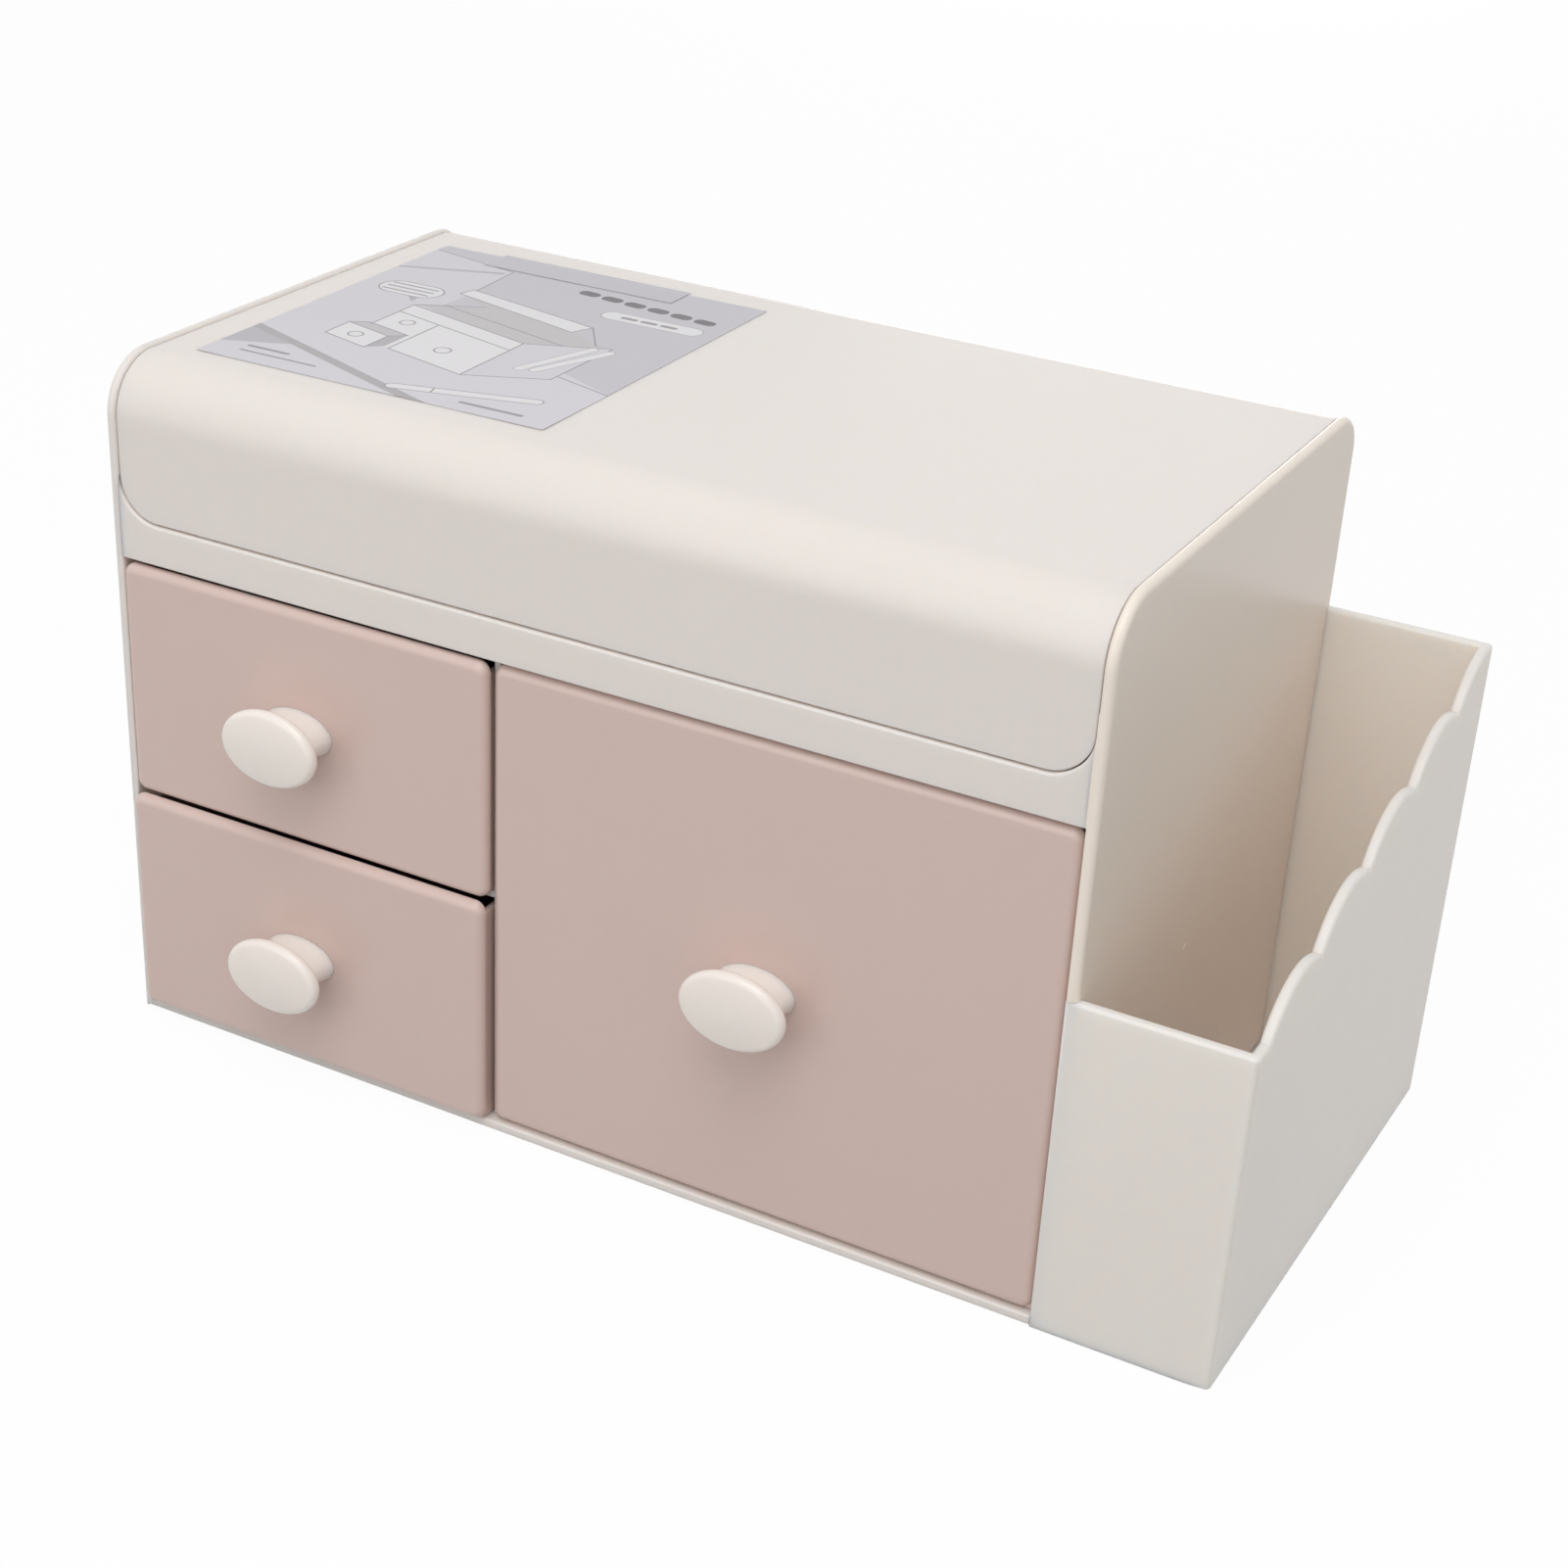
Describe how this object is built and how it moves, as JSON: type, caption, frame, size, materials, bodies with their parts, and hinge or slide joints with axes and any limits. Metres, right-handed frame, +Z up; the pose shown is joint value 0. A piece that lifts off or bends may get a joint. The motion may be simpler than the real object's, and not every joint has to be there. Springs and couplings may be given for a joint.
{
  "type": "desktop mini drawers",
  "caption": "Small desktop storage cabinet with a flip-up lid over a divided tray, small and large sliding drawers with oval knobs, and an open scallop-edged pen box on its right side.",
  "frame": {"origin": "middle of the footprint of cabinet and pen box, on the surface that the cabinet stands on", "axes": "+Z up, +X to the right towards the pen box, +Y to the back; the drawers open towards -Y"},
  "size_m": [0.286, 0.1559, 0.169],
  "materials": {
    "body_plastic": "warm off-white moulded plastic, soft gloss",
    "drawer_plastic": "dusty pink moulded plastic, satin",
    "knob_plastic": "cream white plastic, glossy",
    "sheet_paper": null,
    "clear_tape": "clear adhesive tape",
    "screw_steel": "plain zinc-plated steel"
  },
  "bodies": {
    "cabinet": {"left_side_panel": "body_plastic", "right_side_panel": "body_plastic", "pen_box": "body_plastic", "base_panel": "body_plastic", "back_panel": "body_plastic", "front_rail": "body_plastic", "top_tray": "body_plastic", "centre_divider": "body_plastic", "drawer_shelf": "body_plastic"},
    "lid": {"lid": "body_plastic", "lid_sheet": "sheet_paper", "sheet_tape": "clear_tape"},
    "upper_drawer": {"upper_drawer": "drawer_plastic", "upper_knob": "knob_plastic", "upper_knob_screw": "screw_steel"},
    "lower_drawer": {"lower_drawer": "drawer_plastic", "lower_knob": "knob_plastic", "lower_knob_screw": "screw_steel"},
    "large_drawer": {"large_drawer": "drawer_plastic", "large_knob": "knob_plastic", "large_knob_screw": "screw_steel"}
  },
  "joints": [
    {"name": "lid_hinge", "type": "hinge", "parent": "cabinet", "child": "lid", "pos_m": [0, 0.06, 0.159], "axis": [-1, 0, 0], "range_deg": [0, 100]},
    {"name": "upper_drawer_slide", "type": "slide", "parent": "cabinet", "child": "upper_drawer", "axis": [0, -1, 0], "range_m": [-0.0014, 0.1086]},
    {"name": "lower_drawer_slide", "type": "slide", "parent": "cabinet", "child": "lower_drawer", "axis": [0, -1, 0], "range_m": [-0.0033, 0.1067]},
    {"name": "large_drawer_slide", "type": "slide", "parent": "cabinet", "child": "large_drawer", "axis": [0, -1, 0], "range_m": [0, 0.11]}
  ]
}
